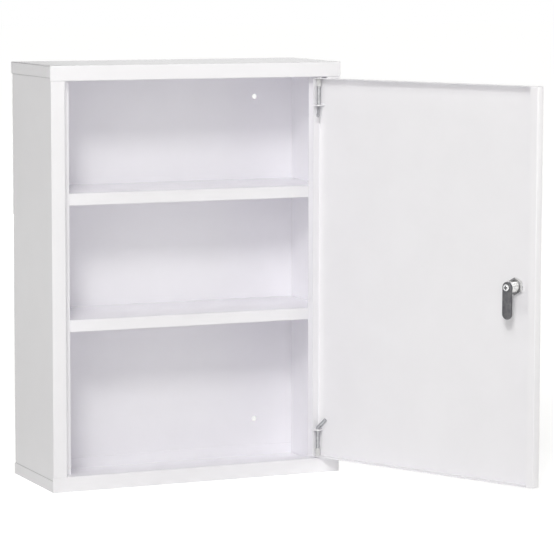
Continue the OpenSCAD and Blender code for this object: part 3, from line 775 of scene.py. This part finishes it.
def cut_key():
    """Flat key: a round bow with its ring hole, shoulders, and a blade cut on both edges for the wafers."""
    root, half = -BEZEL_T - KEY_OUT, KEY_W / 2
    bow_z = root + BOW_LAP - BOW_R
    upper = [(bow_z + sqrt(BOW_R ** 2 - SHOULDER ** 2), SHOULDER), (bow_z + BOW_R - 0.5, SHOULDER), (root, half)]
    for i, deep in enumerate(KEY_CUTS):
        middle = WAFER_Z + WAFER_PITCH * i + WAFER_T / 2
        upper += [(middle - 0.75, half), (middle - 0.4, half - deep)]
        upper += [(middle + 0.4, half - deep), (middle + 0.75, half)]
    upper += [(KEY_LEN - 0.9, half), (KEY_LEN, half - 1.3)]
    start = asin(SHOULDER / BOW_R)
    bow = [(bow_z + BOW_R * cos(a), BOW_R * sin(a)) for a in np.linspace(tau - start, start, 61)]
    outline = upper + [(z, -y) for z, y in reversed(upper)] + bow[1:-1]
    ring = [(bow_z - BOW_R + RING_IN + RING_R * cos(a), RING_R * sin(a)) for a in np.linspace(0, tau, 33)[:-1]]
    turn = Matrix(((0, 0, 1, 0), (0, 1, 0, 0), (1, 0, 0, 0), (0, 0, 0, 1)))
    key = flat_plate("cut_key", outline, [ring], -KEY_T / 2, KEY_T / 2, key_nickel, 0.22, LOCK @ turn, sharp=40)
    fitted(key, "key", "key")


lock_body()
fixing_nut()
tooth_washer()
wafer_stack()
wafer_coils()
cam_plate()
cam_screw_head()
cut_key()
fitted(broken_edges("lock_plug", 0.08, plug_plate), "plug", "lock_plug")
fitted(broken_edges("stop_washer", 0.08, zinc_plate), "plug", "stop_washer")

# ---------- floor, light and camera ----------

# The point that lamps and flags face, the light's colour, and the lamps' distance from that point, in metres
HEART = Vector((0.08, -0.10, 0.0))
WARM = (1.0, 0.995, 0.965)
FAR = 3.5


def stage_sheet(name, at, size, material):
    """Square sheet of the stage, its mesh moved to its place."""
    bm = bmesh.new()
    bmesh.ops.create_grid(bm, x_segments=1, y_segments=1, size=size / 2)
    bm.transform(at)
    mesh = bpy.data.meshes.new(name)
    bm.to_mesh(mesh)
    bm.free()
    mesh.materials.append(material)
    sheet = bpy.data.objects.new(name, mesh)
    scene.collection.objects.link(sheet)
    return sheet


def dark_flag(name, middle, width, height):
    """Black card out of sight that gives glossy things something dark to show and takes no light away."""
    toward = (HEART - Vector(middle)).to_track_quat("Z", "Y").to_matrix().to_4x4()
    at = Matrix.Translation(middle) @ toward @ Matrix.Diagonal((width, height, 1, 1))
    card_black = Finish("black_card").surface({"Base Color": (0.03, 0.03, 0.03, 1), "Roughness": 0.9})
    card = stage_sheet(name, at, 1.0, card_black)
    card.visible_camera = card.visible_diffuse = card.visible_shadow = False


def softbox(name, left, up, width, height, watts):
    """Rectangular soft lamp, left degrees to the cabinet's left and up degrees above it, turned to it."""
    lamp = bpy.data.lights.new(name, "AREA")
    lamp.shape, lamp.size, lamp.size_y, lamp.energy, lamp.color = "RECTANGLE", width, height, watts, WARM
    obj = bpy.data.objects.new(name, lamp)
    a, b = radians(left), radians(up)
    obj.location = HEART + FAR * Vector((-sin(a) * cos(b), -cos(a) * cos(b), sin(b)))
    obj.rotation_euler = (HEART - obj.location).to_track_quat("-Z", "Y").to_euler()
    obj.visible_camera = False
    scene.collection.objects.link(obj)


def room_light(strength):
    """Even studio surround; it shows plain white to the eye and in polished metal."""
    scene.world = bpy.data.worlds.new("studio_room")
    room = Nodes(scene.world)
    lit = room.node("ShaderNodeBackground", inputs={"Color": (*WARM, 1), "Strength": strength})
    shown = room.node("ShaderNodeBackground", inputs={"Color": (1, 1, 1, 1), "Strength": 1.0})
    mixed = room.node("ShaderNodeMixShader", inputs={0: room.seen(), 1: lit.out(), 2: shown.out()})
    room.node("ShaderNodeOutputWorld", inputs={"Surface": mixed.out()})


def product_camera(place, yaw, pitch, roll, focal_px, frame_px):
    """Camera at place, turned right by yaw and down by pitch in degrees, with the focal length given in pixels."""
    yaw, pitch, roll = radians(yaw), radians(pitch), radians(roll)
    forward = Vector((sin(yaw) * cos(pitch), cos(yaw) * cos(pitch), -sin(pitch)))
    right = Vector((cos(yaw), -sin(yaw), 0))
    up = right.cross(forward)
    right, up = right * cos(roll) - up * sin(roll), right * sin(roll) + up * cos(roll)
    cam = bpy.data.cameras.new("product_camera")
    cam.sensor_fit, cam.lens = "HORIZONTAL", focal_px * cam.sensor_width / frame_px
    cam.clip_start, cam.clip_end = 0.05, 60.0
    obj = bpy.data.objects.new("product_camera", cam)
    obj.matrix_world = Matrix.Translation(place) @ Matrix((right, up, -forward)).transposed().to_4x4()
    scene.collection.objects.link(obj)
    scene.camera = obj


floor_paper = studio_white("pale_floor_paper", (0.88, 0.88, 0.88), 0.60, 0.79)
stage_sheet("studio_floor", Matrix.Translation((0, 0, cad_box[0].z)), 40.0, floor_paper)
room_light(0.24)
softbox("fill_softbox", 30, 8, 2.4, 2.0, 21.5)
softbox("key_softbox", 29, 31, 0.6, 0.6, 34.5)
softbox("high_softbox", 30, 45, 1.0, 1.0, 18)
softbox("right_softbox", -62, 12, 1.6, 1.6, 28)
softbox("back_softbox", -168, 0, 1.6, 0.44, 32)
dark_flag("back_flag", (-0.6, 2.2, 1.2), 3.0, 1.8)
product_camera((-1.27991, -3.25119, 0.379), 23.93915, 6.47644, -0.1, 2850.0, 554)
